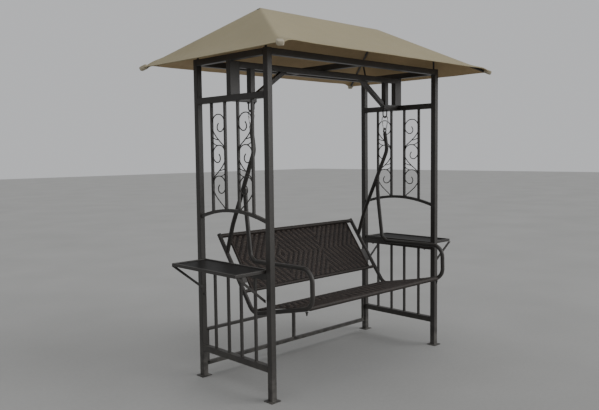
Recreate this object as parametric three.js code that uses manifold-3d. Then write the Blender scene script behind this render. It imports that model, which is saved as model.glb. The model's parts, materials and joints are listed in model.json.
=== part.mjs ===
// Canopy swing bench: a four-post stand with a hipped canopy, two side trays and a hanging seat.
// Millimetres, +Z up, +X along the seat, front towards -Y, floor at z = 0, left is the -X side.
import * as THREE from 'three';
import { mergeVertices } from 'three/addons/utils/BufferGeometryUtils.js';
import Module from 'manifold-3d';

const wasm = await Module();
wasm.setup();

// ---- fits
const gap = 0.3;                       // air between two pieces that touch
const softEdge = 3;                    // rounded corner of the square tubes
const between = (a, b, t) => [a[0] + (b[0] - a[0]) * t, a[1] + (b[1] - a[1]) * t];

// ---- stand
const post = 38;                       // square tube of the posts, rails and beams
const postsApartX = 1624;              // post centres
const postsApartY = 670;
const postTop = 2040;
const plateWide = 75;
const plateThick = 4;
const postX = postsApartX / 2;
const postY = postsApartY / 2;
const clearX = postX - post / 2 - gap; // free half width and depth between the posts
const clearY = postY - post / 2 - gap;

// ---- side frames
const slat = 16;                       // thin upright bars
const slatNear = 62;                   // their distance from the middle
const slatFar = 196;
const bottomRailZ = 190;               // rail centres
const trayRailZ = 736;
const upperRailDrop = 260;             // upper rail's centre below the post tops
const upperRailZ = postTop - upperRailDrop;
const archEndZ = 1051;                 // bowed rail, centre at the posts
const archRise = 50;
const archBar = 20;
const rod = 7;                         // scrollwork
const scrollDrop = 90;                 // highest scroll below the upper rail's centre
const scrollDrawn = 190;               // pitch that the scroll's outline is drawn at
const scrollTail = 26;                 // tail of a scroll past the top of the next
const scrollTopZ = upperRailZ - scrollDrop;
const scrollPitch = (scrollTopZ - scrollTail - archEndZ - archRise * 0.86) / 3;

// ---- hanging gear
const hangInset = 158;                 // hanging points inside the post centres
const hangX = postX - hangInset;       // plane of the hanging links and of each seat side
const hangerPast = 30;                 // hanger beam past the hanging point
const braceSlope = 0.69;
const braceWide = 30;
const braceDeep = 37;                  // upright height of the brace's cut end
const boltRod = 9;
const boltHalf = 22;                   // U-bolt, middle to leg
const boltDrop = 56.5;                 // its lowest run under the hanger beam
const boltLowZ = upperRailZ - post / 2 - boltDrop;
const linkRod = 8;
const linkLong = 91.5;                 // lowest run of the bolt to lowest run of the link
const linkBottomZ = boltLowZ - linkLong;
const eyeRoom = 10;                    // play of the link in the eye
const eyeHole = linkRod + eyeRoom;
const eyeSlack = 1.6;                  // air over the link where the eye bears on it
const eyeThick = 5;
const eyeWide = 36;
const eyeDrop = 28;                    // end of the arm's tube under the link's lowest run

// ---- seat, as a side profile (y, z)
const tube = 28;
const tubeSides = 12;
const backTop = [354, 914];
const seatBend = [12, 434];
const seatFront = [-494, 547];
const armTop = [0, linkBottomZ - eyeDrop];
const armKnee = 123;                   // bend of the arm under its top
const armPath = [armTop, [-20, armTop[1] - armKnee], [205, 990]];
const armMeets = 0.757;                // share of the way up the back where the arm ends
const restFork = between(armPath[1], armPath[2], 0.496);  // where the rest branches off the arm
const nosePast = 25.6;                 // corner of the rest and the side tube, past the seat's front
const nose = between(seatFront, seatBend, -nosePast / Math.hypot(seatBend[0] - seatFront[0],
  seatBend[1] - seatFront[1]));
const restPath = [[restFork[0] - tube * 0.55, restFork[1]], [66, 1080], [26, 772], [-515, 779], nose];
const restMeets = 0.09;                // share of the way back along the seat where it meets the side tube
const edgeTube = 18;                   // tubes at the sides of the woven back
const slitWide = 47;                   // open strip between the back weave and the side tube
const weave = 12;                      // woven panel thickness
const weaveLift = 6;                   // seat weave above the front rail's centre
const rearRailLift = 16;               // rear seat rail above the side tubes' centres
const seatRailBack = 0.955;            // rear seat rail, share of the way to the bend
const backRailLow = 0.27;              // lower back rail, share of the way up
const bridgeUp = 0.455;                // plate between side tube and back weave
const bridgeLong = 100;
const bridgeThick = 6;

// ---- side trays
const trayInset = 15;                  // inner edge inside the post centres
const trayWide = 259;
const trayIn = postX - trayInset;
const trayOut = trayIn + trayWide;
const trayPlay = 3.7;                  // air between the tray's ends and the posts
const trayHalfY = clearY - trayPlay;
const trayRim = 20;                    // rim height
const trayRimWide = 14;
const traySheet = 2;
const traySunk = 6;                    // sheet below the rim's top
const trayStrut = 14;
const trayStrutDrop = 144;             // strut's foot under the tray rail's centre
const trayStrutLowZ = trayRailZ - trayStrutDrop;

// ---- rear stretcher
const stretchLowZ = 80;
const stretchLowHigh = 26;
const stretchTopZ = 304;
const stretchBar = 20;

// ---- roof
const hemPastX = 185;                  // canopy's edge past the post centres
const hemPastY = 333;
const hemDrop = 34;                    // canopy's edge below the post tops
const ridgeIn = 427;                   // end of the ridge inside the edge
const ridgeRise = 340;
const hemX = postX + hemPastX;
const hemY = postY + hemPastY;
const hemZ = postTop - hemDrop;
const ridgeX = hemX - ridgeIn;
const ridgeZ = hemZ + ridgeRise;
const cloth = 3;
const rafter = 20;
const rafterDrop = 22;                 // rafter centre under the cloth's top face
const strut = 16;                      // leg under each hip rafter
const legOut = 3;                      // its foot on the post top, from the post's centre
const legIn = 11;

const V = (x, y, z) => new THREE.Vector3(x, y, z);
const xAxis = V(1, 0, 0);
const yAxis = V(0, 1, 0);
const zAxis = V(0, 0, 1);

// ---- closed meshes
function closedMesh(points, faces) {
  let volume = 0;
  for (const [a, b, c] of faces) {
    volume += points[a].dot(V(0, 0, 0).crossVectors(points[b], points[c]));
  }
  const geometry = new THREE.BufferGeometry();
  const flat = points.flatMap((p) => [p.x, p.y, p.z]);
  geometry.setAttribute('position', new THREE.Float32BufferAttribute(flat, 3));
  geometry.setIndex(faces.flatMap(([a, b, c]) => (volume > 0 ? [a, b, c] : [a, c, b])));
  return geometry;
}

// Carries a convex section of [across, along side] points down a path that lies in one plane.
function sweep(path, side, section, ring = false) {
  const points = [];
  const faces = [];
  const n = section.length;
  const last = path.length - 1;
  path.forEach((p, i) => {
    const before = i > 0 ? path[i - 1] : ring ? path[last] : null;
    const after = i < last ? path[i + 1] : ring ? path[0] : null;
    const inward = before ? p.clone().sub(before).normalize() : after.clone().sub(p).normalize();
    const onward = after ? after.clone().sub(p).normalize() : inward.clone();
    const tangent = inward.clone().add(onward).normalize();
    const across = V(0, 0, 0).crossVectors(side, tangent).multiplyScalar(1 / tangent.dot(inward));
    for (const [a, s] of section) {
      points.push(p.clone().addScaledVector(across, a).addScaledVector(side, s));
    }
  });
  for (let i = 0; i < (ring ? last + 1 : last); i++) {
    const j = (i + 1) % (last + 1);
    for (let k = 0; k < n; k++) {
      const m = (k + 1) % n;
      faces.push([i * n + k, i * n + m, j * n + k], [i * n + m, j * n + m, j * n + k]);
    }
  }
  if (!ring) {
    for (let k = 1; k < n - 1; k++) {
      faces.push([0, k + 1, k], [last * n, last * n + k, last * n + k + 1]);
    }
  }
  return closedMesh(points, faces);
}

function roundSection(diameter, sides = tubeSides) {
  return Array.from({ length: sides }, (_, i) => {
    const a = ((i + 0.5) / sides) * 2 * Math.PI;
    return [(diameter / 2) * Math.cos(a), (diameter / 2) * Math.sin(a)];
  });
}

function boxSection(across, along, soft = softEdge) {
  const corners = [[1, 1, 0], [-1, 1, 90], [-1, -1, 180], [1, -1, 270]];
  return corners.flatMap(([sx, sy, from]) => [0, 45, 90].map((step) => {
    const a = THREE.MathUtils.degToRad(from + step);
    return [sx * (across / 2 - soft) + soft * Math.cos(a), sy * (along / 2 - soft) + soft * Math.sin(a)];
  }));
}

const squareBar = (from, to, side, across = post, along = post, soft = softEdge) =>
  sweep([from, to], side, boxSection(across, along, soft));
const roundBar = (from, to, side, diameter, sides = tubeSides) =>
  sweep([from, to], side, roundSection(diameter, sides));

function block(x0, x1, y0, y1, z0, z1) {
  const geometry = new THREE.BoxGeometry(x1 - x0, y1 - y0, z1 - z0);
  return geometry.translate((x0 + x1) / 2, (y0 + y1) / 2, (z0 + z1) / 2);
}

// ---- joining and cutting
function toSolid(geometry) {
  const bare = geometry.clone();
  bare.deleteAttribute('normal');
  bare.deleteAttribute('uv');
  const merged = mergeVertices(bare, 1e-4);
  return new wasm.Manifold(new wasm.Mesh({
    numProp: 3,
    vertProperties: new Float32Array(merged.attributes.position.array),
    triVerts: new Uint32Array(merged.index.array),
  }));
}

function toGeometry(solid) {
  const mesh = solid.getMesh();
  const geometry = new THREE.BufferGeometry();
  geometry.setAttribute('position', new THREE.Float32BufferAttribute(mesh.vertProperties, 3));
  geometry.setIndex(Array.from(mesh.triVerts));
  return geometry;
}

const join = (...parts) => toGeometry(parts.map(toSolid).reduce((a, b) => a.add(b)));
const cut = (part, ...tools) =>
  toGeometry(tools.map(toSolid).reduce((a, b) => a.subtract(b), toSolid(part)));
const keepInside = (part, region) => toGeometry(toSolid(part).intersect(toSolid(region)));

function mirrored(geometry, sx, sy = 1) {
  const copy = geometry.clone().scale(sx, sy, 1);
  if (sx * sy < 0) {
    const index = Array.from(copy.index.array);
    for (let i = 0; i < index.length; i += 3) {
      [index[i + 1], index[i + 2]] = [index[i + 2], index[i + 1]];
    }
    copy.setIndex(index);
  }
  return copy;
}

// ---- profiles in a plane of constant x
function filleted(corners, radii, steps = 6) {
  const at = corners.map(([a, b]) => new THREE.Vector2(a, b));
  const path = [at[0]];
  for (let i = 1; i < at.length - 1; i++) {
    const u = at[i - 1].clone().sub(at[i]).normalize();
    const v = at[i + 1].clone().sub(at[i]).normalize();
    const half = Math.acos(THREE.MathUtils.clamp(u.dot(v), -1, 1)) / 2;
    const start = at[i].clone().addScaledVector(u, radii[i - 1] / Math.tan(half));
    const middle = at[i].clone().addScaledVector(u.clone().add(v).normalize(), radii[i - 1] / Math.sin(half));
    const turn = (Math.PI - 2 * half) * Math.sign(v.clone().cross(u) || 1);
    for (let k = 0; k <= steps; k++) {
      path.push(start.clone().rotateAround(middle, (turn * k) / steps));
    }
  }
  path.push(at[at.length - 1]);
  return path;
}

const inPlane = (x, path) => path.map((p) => V(x, p.x, p.y));

// ---- stand
const postBar = (sx, sy) =>
  squareBar(V(sx * postX, sy * postY, plateThick + gap), V(sx * postX, sy * postY, postTop), xAxis);

const footPlate = (sx, sy) => squareBar(V(sx * postX, sy * postY, 0), V(sx * postX, sy * postY, plateThick),
  xAxis, plateWide, plateWide, 5);

const crossRail = (z, across = post, high = post) =>
  squareBar(V(postX, -clearY, z), V(postX, clearY, z), xAxis, high, across);

const slats = (from, to) => [-slatFar, -slatNear, slatNear, slatFar].map((y) =>
  squareBar(V(postX, y, from), V(postX, y, to), xAxis, slat, slat, 1.5));

const scrollGrow = scrollPitch / scrollDrawn;

// One scroll in shares of the half column, then its drop as drawn; side is +1 or -1.
function scroll(middleY, half, topZ, side) {
  const shape = [[0, -54], [-0.2, -74], [-0.14, -94], [0.2, -106], [0.7, -96], [1, -63], [0.76, -20], [0, 0],
    [-0.76, -16], [-1, -50], [-1, -88], [-0.62, -124], [0.14, -164], [0.8, -196], [1, -216]];
  const curve = new THREE.CatmullRomCurve3(shape.map(([a, d]) =>
    V(postX, middleY + side * a * half, topZ + d * scrollGrow)), false, 'centripetal');
  return sweep(curve.getPoints(22), xAxis, roundSection(rod, 5));
}

function twig(middleY, half, topZ, side, drops) {
  const curve = new THREE.QuadraticBezierCurve3(
    V(postX, middleY - side * half, topZ + drops[0] * scrollGrow),
    V(postX, middleY - side * half * 0.7, topZ + drops[1] * scrollGrow),
    V(postX, middleY - side * half * drops[3], topZ + drops[2] * scrollGrow));
  return sweep(curve.getPoints(3), xAxis, roundSection(rod - 1, 5));
}

function scrollColumn(toFront) {
  const middleY = toFront * (slatNear + slatFar) / 2;
  const half = (slatFar - slatNear) / 2 - slat / 2 + 1.5;
  const parts = [];
  for (let i = 0; i < 3; i++) {
    const side = -toFront * (i % 2 ? -1 : 1);
    const topZ = scrollTopZ - i * scrollPitch;
    parts.push(scroll(middleY, half, topZ, side));
    if (i < 2) {
      parts.push(twig(middleY, half, topZ, side, [-140, -152, -157, 0.02]));
      parts.push(twig(middleY, half, topZ, side, [-168, -190, -191, 0.12]));
    }
  }
  return parts;
}

function upperPanel() {
  const arch = Array.from({ length: 15 }, (_, i) => {
    const y = clearY * 1.02 * (i / 7 - 1);
    return V(postX, y, archEndZ + archRise * (1 - (y / clearY) ** 2));
  });
  const archRail = keepInside(sweep(arch, xAxis, boxSection(archBar, archBar, 2)),
    block(postX - post, postX + post, -clearY, clearY, archEndZ - post, upperRailZ));
  return join(crossRail(upperRailZ), archRail, ...slats(archEndZ + archRise * 0.72, upperRailZ),
    ...scrollColumn(-1), ...scrollColumn(1));
}

const lowerPanel = () => join(crossRail(bottomRailZ), crossRail(trayRailZ), ...slats(bottomRailZ, trayRailZ));

const beamZ = postTop - post / 2;
const longBeam = (sy) => squareBar(V(-clearX, sy * postY, beamZ), V(clearX, sy * postY, beamZ), yAxis);
const sideBeam = () => crossRail(beamZ);
const crossBeam = () => squareBar(V(0, -clearY, beamZ), V(0, clearY, beamZ), xAxis);
const middleBeamX = postX - post * 1.5 - gap;
const middleBeamZ = beamZ - post - gap;
const middleBeam = () => squareBar(V(-middleBeamX, 0, middleBeamZ), V(middleBeamX, 0, middleBeamZ), yAxis);

// ---- hanging gear on the right side
const hangerTop = upperRailZ + post / 2;
const outerUpright = () => squareBar(V(postX - post / 2, 0, hangerTop + gap),
  V(postX - post / 2, 0, beamZ - post / 2 - gap), xAxis, post, 2 * post);
const innerUpright = () => squareBar(V(hangX, 0, hangerTop + gap),
  V(hangX, 0, middleBeamZ - post / 2 - gap), xAxis);
const hangerBeam = () => squareBar(V(hangX - hangerPast, 0, upperRailZ), V(clearX, 0, upperRailZ), yAxis);

function brace() {
  const footX = hangX - hangerPast - gap;
  const footZ = upperRailZ + 2;
  const topZ = middleBeamZ - post / 2 - gap;
  const run = (z) => (topZ - z) / braceSlope;
  const outline = [[footX, footZ], [footX, footZ + braceDeep],
    [footX - run(footZ + braceDeep), topZ], [footX - run(footZ), topZ]];
  const points = [-1, 1].flatMap((s) => outline.map(([x, z]) => V(x, s * braceWide / 2, z)));
  const faces = [[0, 1, 2], [0, 2, 3], [4, 6, 5], [4, 7, 6]];
  for (let k = 0; k < 4; k++) {
    const m = (k + 1) % 4;
    faces.push([k, k + 4, m], [m, k + 4, m + 4]);
  }
  return closedMesh(points, faces);
}

function uBolt() {
  const top = upperRailZ - post / 2 - gap;
  const corner = boltHalf - 0.01;
  const path = filleted([[hangX - boltHalf, top], [hangX - boltHalf, boltLowZ],
    [hangX + boltHalf, boltLowZ], [hangX + boltHalf, top]], [corner, corner], 7).map((p) => V(p.x, 0, p.y));
  const nuts = [-1, 1].map((s) => roundBar(V(hangX + s * boltHalf, 0, top),
    V(hangX + s * boltHalf, 0, top - 9), xAxis, 18, 6));
  return join(sweep(path, yAxis, roundSection(boltRod, 10)), ...nuts);
}

// Pear-shaped ring in the plane of the swing, wide end up.
function link() {
  const topZ = boltLowZ + boltRod / 2 + linkRod / 2 + gap;
  const low = linkBottomZ;
  const half = [[0, topZ], [20, topZ - 5], [27, topZ - 22], [22, topZ - 50], [14, low + 16], [9, low + 4]];
  const round = [...half, [0, low], ...half.slice(1).reverse().map(([y, z]) => [-y, z])];
  const curve = new THREE.CatmullRomCurve3(round.map(([y, z]) => V(hangX, y, z)), true, 'centripetal');
  return sweep(curve.getPoints(28).slice(0, -1), xAxis, roundSection(linkRod, 8), true);
}

// ---- seat, right side
const seatLong = Math.hypot(seatBend[0] - seatFront[0], seatBend[1] - seatFront[1]);
const sideEnd = between(seatFront, seatBend, restMeets + gap / seatLong);
const sideProfile = filleted([backTop, seatBend, sideEnd], [85], 8);
const armProfile = filleted([...armPath, between(seatBend, backTop, armMeets)], [110, 160]);
const restProfile = filleted([...restPath, between(seatFront, seatBend, restMeets)], [250, 62, 78, 80]);
const tubeOn = (profile, diameter = tube) =>
  sweep(inPlane(hangX, profile), xAxis, roundSection(diameter));

const sideTube = () => tubeOn(sideProfile);

function hangerArm() {
  const eyeZ = linkBottomZ + linkRod / 2 + eyeSlack - eyeHole / 2;
  const tongue = join(block(hangX - eyeWide / 2, hangX + eyeWide / 2, -eyeThick / 2, eyeThick / 2,
    armTop[1] - 26, eyeZ), roundBar(V(hangX, -eyeThick / 2, eyeZ), V(hangX, eyeThick / 2, eyeZ), xAxis, eyeWide, 20));
  const bore = roundBar(V(hangX, -tube, eyeZ), V(hangX, tube, eyeZ), xAxis, eyeHole, 20);
  const arm = cut(tubeOn(armProfile), tubeOn(sideProfile, tube + 2 * gap));
  return cut(join(arm, tongue), bore);
}

const armRest = () => cut(tubeOn(restProfile), tubeOn(armProfile, tube + 2 * gap),
  tubeOn(sideProfile, tube + 2 * gap));

const onSeat = (share, lift = 0) => {
  const [y, z] = between(seatFront, seatBend, share);
  const slope = Math.atan2(seatFront[1] - seatBend[1], seatBend[0] - seatFront[0]);
  return [y + lift * Math.sin(slope), z + lift * Math.cos(slope)];
};
const onBack = (share) => between(seatBend, backTop, share);
const frontShare = tube / 2 / seatLong;
const backLong = Math.hypot(backTop[0] - seatBend[0], backTop[1] - seatBend[1]);
const topShare = 1 - tube / 2 / backLong;

// Round rail along x between the side tubes, coped to them.
function seatRail([y, z], diameter = tube) {
  const cutters = [-1, 1].flatMap((s) => [sideProfile, restProfile].map((profile) =>
    mirrored(tubeOn(profile, tube + 2 * gap), s)));
  return cut(roundBar(V(-hangX + tube / 3, y, z), V(hangX - tube / 3, y, z), yAxis, diameter), ...cutters);
}

function seatFrame() {
  const rear = onSeat(seatRailBack, rearRailLift);
  const front = onSeat(frontShare);
  const drop = -(weave / 2 + 7);
  const supports = [-0.5, 0, 0.5].map((f) => {
    const a = onSeat(frontShare, drop + weaveLift);
    const b = onSeat(seatRailBack, drop + rearRailLift + 4);
    return squareBar(V(f * hangX, a[0], a[1]), V(f * hangX, b[0], b[1]), xAxis, 10, slat, 1.5);
  });
  return join(seatRail(front), seatRail(rear, edgeTube + 4), ...supports);
}

function slab(halfX, a, b, thick) {
  return squareBar(V(0, a[0], a[1]), V(0, b[0], b[1]), xAxis, thick, 2 * halfX, 2);
}

function seatWeave() {
  const from = onSeat(frontShare + (tube / 2 + 1) / seatLong, weaveLift);
  const to = onSeat(seatRailBack - ((edgeTube + 4) / 2 + 1) / seatLong, rearRailLift + 4);
  return slab(hangX - tube / 2 - 6, from, to, weave);
}

function backFrame() {
  const edgeX = hangX - tube / 2 - slitWide - edgeTube / 2;
  const bridgeX = hangX - tube / 2 - slitWide / 2 - 2;
  const top = onBack(topShare);
  const low = onBack(backRailLow);
  const [plateLow, plateHigh] = [-1, 1].map((d) => onBack(bridgeUp + (d * bridgeLong) / 2 / backLong));
  const parts = [seatRail(top), seatRail(low, edgeTube + 4)];
  for (const s of [-1, 1]) {
    parts.push(roundBar(V(s * edgeX, top[0], top[1]), V(s * edgeX, low[0], low[1]), xAxis, edgeTube));
    parts.push(cut(squareBar(V(s * bridgeX, ...plateLow), V(s * bridgeX, ...plateHigh), xAxis, bridgeThick,
      slitWide + edgeTube, 1), mirrored(tubeOn(sideProfile, tube + 2 * gap), s)));
  }
  return join(...parts);
}

function backWeave() {
  const from = onBack(backRailLow + ((edgeTube + 4) / 2 + 1) / backLong);
  const to = onBack(topShare - (tube / 2 + 1) / backLong);
  return slab(hangX - tube / 2 - slitWide - edgeTube - 1, from, to, weave);
}

// Domed screw under the front corner of the seat.
function cornerBolt() {
  const [y, z] = onSeat(0.05);
  const profile = [[0, 24], [2, 24], [5, 17], [5, 9], [9, 5], [9, 0], [0, 0]];
  const geometry = new THREE.LatheGeometry(profile.map(([r, d]) => new THREE.Vector2(r, -d)), 12);
  const solid = toGeometry(toSolid(geometry.rotateX(Math.PI / 2)));
  return solid.translate(hangX, y, z - tube / 2 - 2.8);
}

// ---- trays
function trayFrame() {
  const z0 = trayRailZ + post / 2 + gap;
  const outer = block(trayIn, trayOut, -trayHalfY, trayHalfY, z0, z0 + trayRim);
  const inner = block(trayIn + trayRimWide, trayOut - trayRimWide, -trayHalfY + trayRimWide,
    trayHalfY - trayRimWide, z0 - 1, z0 + trayRim + 1);
  return cut(outer, inner);
}

function traySheetPlate() {
  const top = trayRailZ + post / 2 + gap + trayRim - traySunk;
  const edge = trayRimWide + gap;
  return block(trayIn + edge, trayOut - edge, -trayHalfY + edge, trayHalfY - edge, top - traySheet, top);
}

function trayStrutBar(sy) {
  const faceX = postX + post / 2 + gap;
  const topZ = trayRailZ + post / 2;
  const low = V(faceX - 20, sy * (postY - 12), trayStrutLowZ - 18);
  const high = V(trayOut - trayStrut + 20, sy * (trayHalfY - trayStrut / 2 - 2), topZ + 18);
  const along = high.clone().sub(low).normalize();
  const side = V(0, 0, 0).crossVectors(along, zAxis).normalize();
  return keepInside(squareBar(low, high, side, trayStrut, trayStrut - 4, 1.5),
    block(faceX, trayOut, sy > 0 ? 0 : -postY, sy > 0 ? postY : 0, 0, topZ));
}

// ---- rear stretcher
function stretcher() {
  const rail = (z, high) => squareBar(V(-clearX, postY, z), V(clearX, postY, z), yAxis, high, stretchBar, 2);
  const ends = [-1, 0, 1].map((s) => squareBar(V(s * (clearX - stretchBar / 2), postY, stretchLowZ),
    V(s * (clearX - stretchBar / 2), postY, stretchTopZ), xAxis, stretchBar, stretchBar, 2));
  return join(rail(stretchLowZ, stretchLowHigh), rail(stretchTopZ, stretchBar), ...ends);
}

// ---- roof
const ridgePoleZ = ridgeZ - rafterDrop + 2;
const ridgePole = () => roundBar(V(15 - ridgeX, 0, ridgePoleZ), V(ridgeX - 15, 0, ridgePoleZ), yAxis, rafter, 12);

function hipRafter() {
  const top = V(ridgeX, 0, ridgeZ - rafterDrop);
  const foot = V(hemX, hemY, hemZ - rafterDrop);
  const from = top.clone().lerp(foot, 0.035);
  const to = top.clone().lerp(foot, 0.972);
  const side = V(0, 0, 0).crossVectors(foot.clone().sub(top).normalize(), zAxis).normalize();
  const legFoot = V(postX + legOut, postY - legIn, postTop - strut);
  const plan = V(foot.x - top.x, foot.y - top.y, 0);
  const reach = legFoot.clone().sub(top).dot(plan) / plan.lengthSq();
  const leg = keepInside(roundBar(legFoot, top.clone().lerp(foot, reach), xAxis, strut, 10),
    block(0, hemX, 0, hemY, postTop + gap, ridgeZ));
  return join(roundBar(from, to, side, rafter, 12), leg);
}

function canopy() {
  const rim = [V(-hemX, -hemY, hemZ), V(hemX, -hemY, hemZ), V(hemX, hemY, hemZ), V(-hemX, hemY, hemZ),
    V(-ridgeX, 0, ridgeZ), V(ridgeX, 0, ridgeZ)];
  const points = [...rim, ...rim.map((p) => p.clone().setZ(p.z - cloth))];
  const skin = [[0, 1, 5], [0, 5, 4], [1, 2, 5], [2, 3, 4], [2, 4, 5], [3, 0, 4]];
  const faces = [...skin, ...skin.map(([a, b, c]) => [a + 6, c + 6, b + 6])];
  for (let k = 0; k < 4; k++) {
    const m = (k + 1) % 4;
    faces.push([k, k + 6, m], [m, k + 6, m + 6]);
  }
  return closedMesh(points, faces);
}

// ---- assembly
const group = new THREE.Group();
group.name = 'canopy_swing_bench';

function add(name, geometry, colour, metalness = 0.4, roughness = 0.5) {
  const flat = geometry.index ? geometry.toNonIndexed() : geometry;
  flat.computeVertexNormals();
  const material = new THREE.MeshStandardMaterial({ color: colour, metalness, roughness });
  const mesh = new THREE.Mesh(flat, material);
  mesh.name = name;
  group.add(mesh);
}

const bronze = 0x3c3936;
const chrome = 0xd0d2d4;
const reed = 0x37302c;
const canvas = 0xa29a86;
const sides = [['left', -1], ['right', 1]];
const ends = [['front', -1], ['rear', 1]];

function addPairs(name, build, colour, metalness, roughness) {
  for (const [side, sx] of sides) {
    add(`${name}_${side}`, mirrored(build(), sx), colour, metalness, roughness);
  }
}

for (const [end, sy] of ends) {
  for (const [side, sx] of sides) {
    add(`post_${end}_${side}`, postBar(sx, sy), bronze);
    add(`foot_plate_${end}_${side}`, footPlate(sx, sy), bronze);
    add(`hip_rafter_${end}_${side}`, mirrored(hipRafter(), sx, sy), bronze);
    add(`tray_strut_${end}_${side}`, mirrored(trayStrutBar(sy), sx), bronze);
  }
  add(`top_beam_${end}`, longBeam(sy), bronze);
}
addPairs('side_panel_upper', upperPanel, bronze);
addPairs('side_panel_lower', lowerPanel, bronze);
addPairs('top_beam', sideBeam, bronze);
add('cross_beam', crossBeam(), bronze);
add('middle_beam', middleBeam(), bronze);
addPairs('outer_upright', outerUpright, bronze);
addPairs('inner_upright', innerUpright, bronze);
addPairs('hanger_beam', hangerBeam, bronze);
addPairs('brace', brace, bronze);
addPairs('u_bolt', uBolt, bronze, 0.8, 0.4);
addPairs('tray_frame', trayFrame, bronze);
addPairs('tray_sheet', traySheetPlate, 0x45433f);
add('rear_stretcher', stretcher(), bronze);
add('ridge_pole', ridgePole(), bronze);
add('canopy', canopy(), canvas, 0, 0.9);
addPairs('hanging_link', link, chrome, 1, 0.15);
addPairs('hanger_arm', hangerArm, bronze);
addPairs('arm_rest', armRest, bronze);
addPairs('side_tube', sideTube, bronze);
addPairs('corner_bolt', cornerBolt, bronze, 0.8, 0.4);
add('seat_frame', seatFrame(), bronze);
add('back_frame', backFrame(), bronze);
add('seat_weave', seatWeave(), reed, 0, 0.7);
add('back_weave', backWeave(), reed, 0, 0.7);

export default group;
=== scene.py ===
import json
import math
import random

import bmesh
import bpy
from mathutils import Matrix, Vector, noise


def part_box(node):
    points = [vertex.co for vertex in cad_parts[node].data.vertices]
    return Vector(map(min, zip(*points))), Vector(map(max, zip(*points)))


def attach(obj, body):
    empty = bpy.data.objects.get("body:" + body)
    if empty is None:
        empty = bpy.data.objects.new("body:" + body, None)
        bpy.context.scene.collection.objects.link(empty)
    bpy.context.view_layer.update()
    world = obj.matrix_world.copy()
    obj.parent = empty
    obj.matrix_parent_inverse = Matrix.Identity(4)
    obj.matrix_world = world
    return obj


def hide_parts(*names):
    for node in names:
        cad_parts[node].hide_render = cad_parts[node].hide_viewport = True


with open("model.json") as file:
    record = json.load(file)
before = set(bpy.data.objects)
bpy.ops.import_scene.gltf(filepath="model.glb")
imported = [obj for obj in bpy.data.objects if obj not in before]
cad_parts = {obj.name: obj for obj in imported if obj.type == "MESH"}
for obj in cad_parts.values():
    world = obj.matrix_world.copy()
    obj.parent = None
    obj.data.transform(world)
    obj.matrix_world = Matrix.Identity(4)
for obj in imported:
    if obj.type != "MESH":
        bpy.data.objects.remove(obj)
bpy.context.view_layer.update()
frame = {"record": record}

bodyOf = {node: body for body, members in frame["record"]["behaviour"]["bodies"].items() for node in members}
sides = {"left": -1, "right": 1}
ends = {"front": -1, "rear": 1}
jitter = random.Random(11)
print("frame loaded:", len(bodyOf), "nodes")


# the camera stands left of the bench's front corner, at chest height
camera = {
    "place": (-3.3457, -3.2035, 1.4485),
    "lens": 40.31,
    "yaw": 44.018,      # degrees from +Y towards +X
    "down": 4.456,
    "roll": -0.669,
}

cameraData = bpy.data.cameras.new("camera")
cameraData.lens = camera["lens"]
cameraData.sensor_width = 36
cameraObject = bpy.data.objects.new("camera", cameraData)
bpy.context.scene.collection.objects.link(cameraObject)
cameraObject.matrix_world = (Matrix.Translation(camera["place"])
                             @ Matrix.Rotation(math.radians(-camera["yaw"]), 4, "Z")
                             @ Matrix.Rotation(math.radians(90 - camera["down"]), 4, "X")
                             @ Matrix.Rotation(math.radians(camera["roll"]), 4, "Z"))
bpy.context.scene.camera = cameraObject
print("camera set")


def newGroup(name, inputs, outputs):
    group = bpy.data.node_groups.new(name, "ShaderNodeTree")
    for label, kind, value in inputs:
        socket = group.interface.new_socket(label, in_out="INPUT", socket_type=kind)
        socket.default_value = value
    for label, kind in outputs:
        group.interface.new_socket(label, in_out="OUTPUT", socket_type=kind)
    return group, group.nodes.new("NodeGroupInput"), group.nodes.new("NodeGroupOutput")


def addNode(tree, kind, inputs=None, **settings):
    node = tree.nodes.new(kind)
    for key, value in settings.items():
        setattr(node, key, value)
    for key, value in (inputs or {}).items():
        if isinstance(value, bpy.types.NodeSocket):
            tree.links.new(value, node.inputs[key])
        else:
            node.inputs[key].default_value = value
    return node


def mathNode(tree, operation, first, second=0.0, third=0.0):
    return addNode(tree, "ShaderNodeMath", {0: first, 1: second, 2: third}, operation=operation).outputs[0]


def mixColour(tree, share, first, second, blend="MIX"):
    return addNode(tree, "ShaderNodeMix", {0: share, 6: first, 7: second},
                   data_type="RGBA", blend_type=blend).outputs[2]


def clampedRange(tree, value, fromMin, fromMax, toMin=0.0, toMax=1.0):
    return addNode(tree, "ShaderNodeMapRange",
                   {0: value, 1: fromMin, 2: fromMax, 3: toMin, 4: toMax}).outputs[0]


def noiseOf(tree, place, scale, detail):
    noise = addNode(tree, "ShaderNodeTexNoise", {"Vector": place, "Scale": scale, "Detail": detail})
    return noise.outputs["Fac"]


def objectPlace(tree):
    return addNode(tree, "ShaderNodeTexCoord").outputs["Object"]


def axesOf(tree, vector):
    return addNode(tree, "ShaderNodeSeparateXYZ", {0: vector}).outputs


def makeCloudGroup():    # slow change of tone over a finish, with a finer mottle in it
    group, into, out = newGroup("toneClouds", [
        ("Light", "NodeSocketColor", (1, 1, 1, 1)), ("Dark", "NodeSocketColor", (0, 0, 0, 1)),
        ("Size", "NodeSocketFloat", 3.0), ("Mottle", "NodeSocketFloat", 60.0)],
        [("Color", "NodeSocketColor")])
    place = objectPlace(group)
    broad = noiseOf(group, place, into.outputs["Size"], 4.0)
    fine = noiseOf(group, place, into.outputs["Mottle"], 3.0)
    both = mathNode(group, "MULTIPLY_ADD", broad, 0.7, mathNode(group, "MULTIPLY", fine, 0.3))
    share = clampedRange(group, both, 0.34, 0.66)
    colour = mixColour(group, share, into.outputs["Dark"], into.outputs["Light"])
    group.links.new(colour, out.inputs["Color"])
    return group


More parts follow.
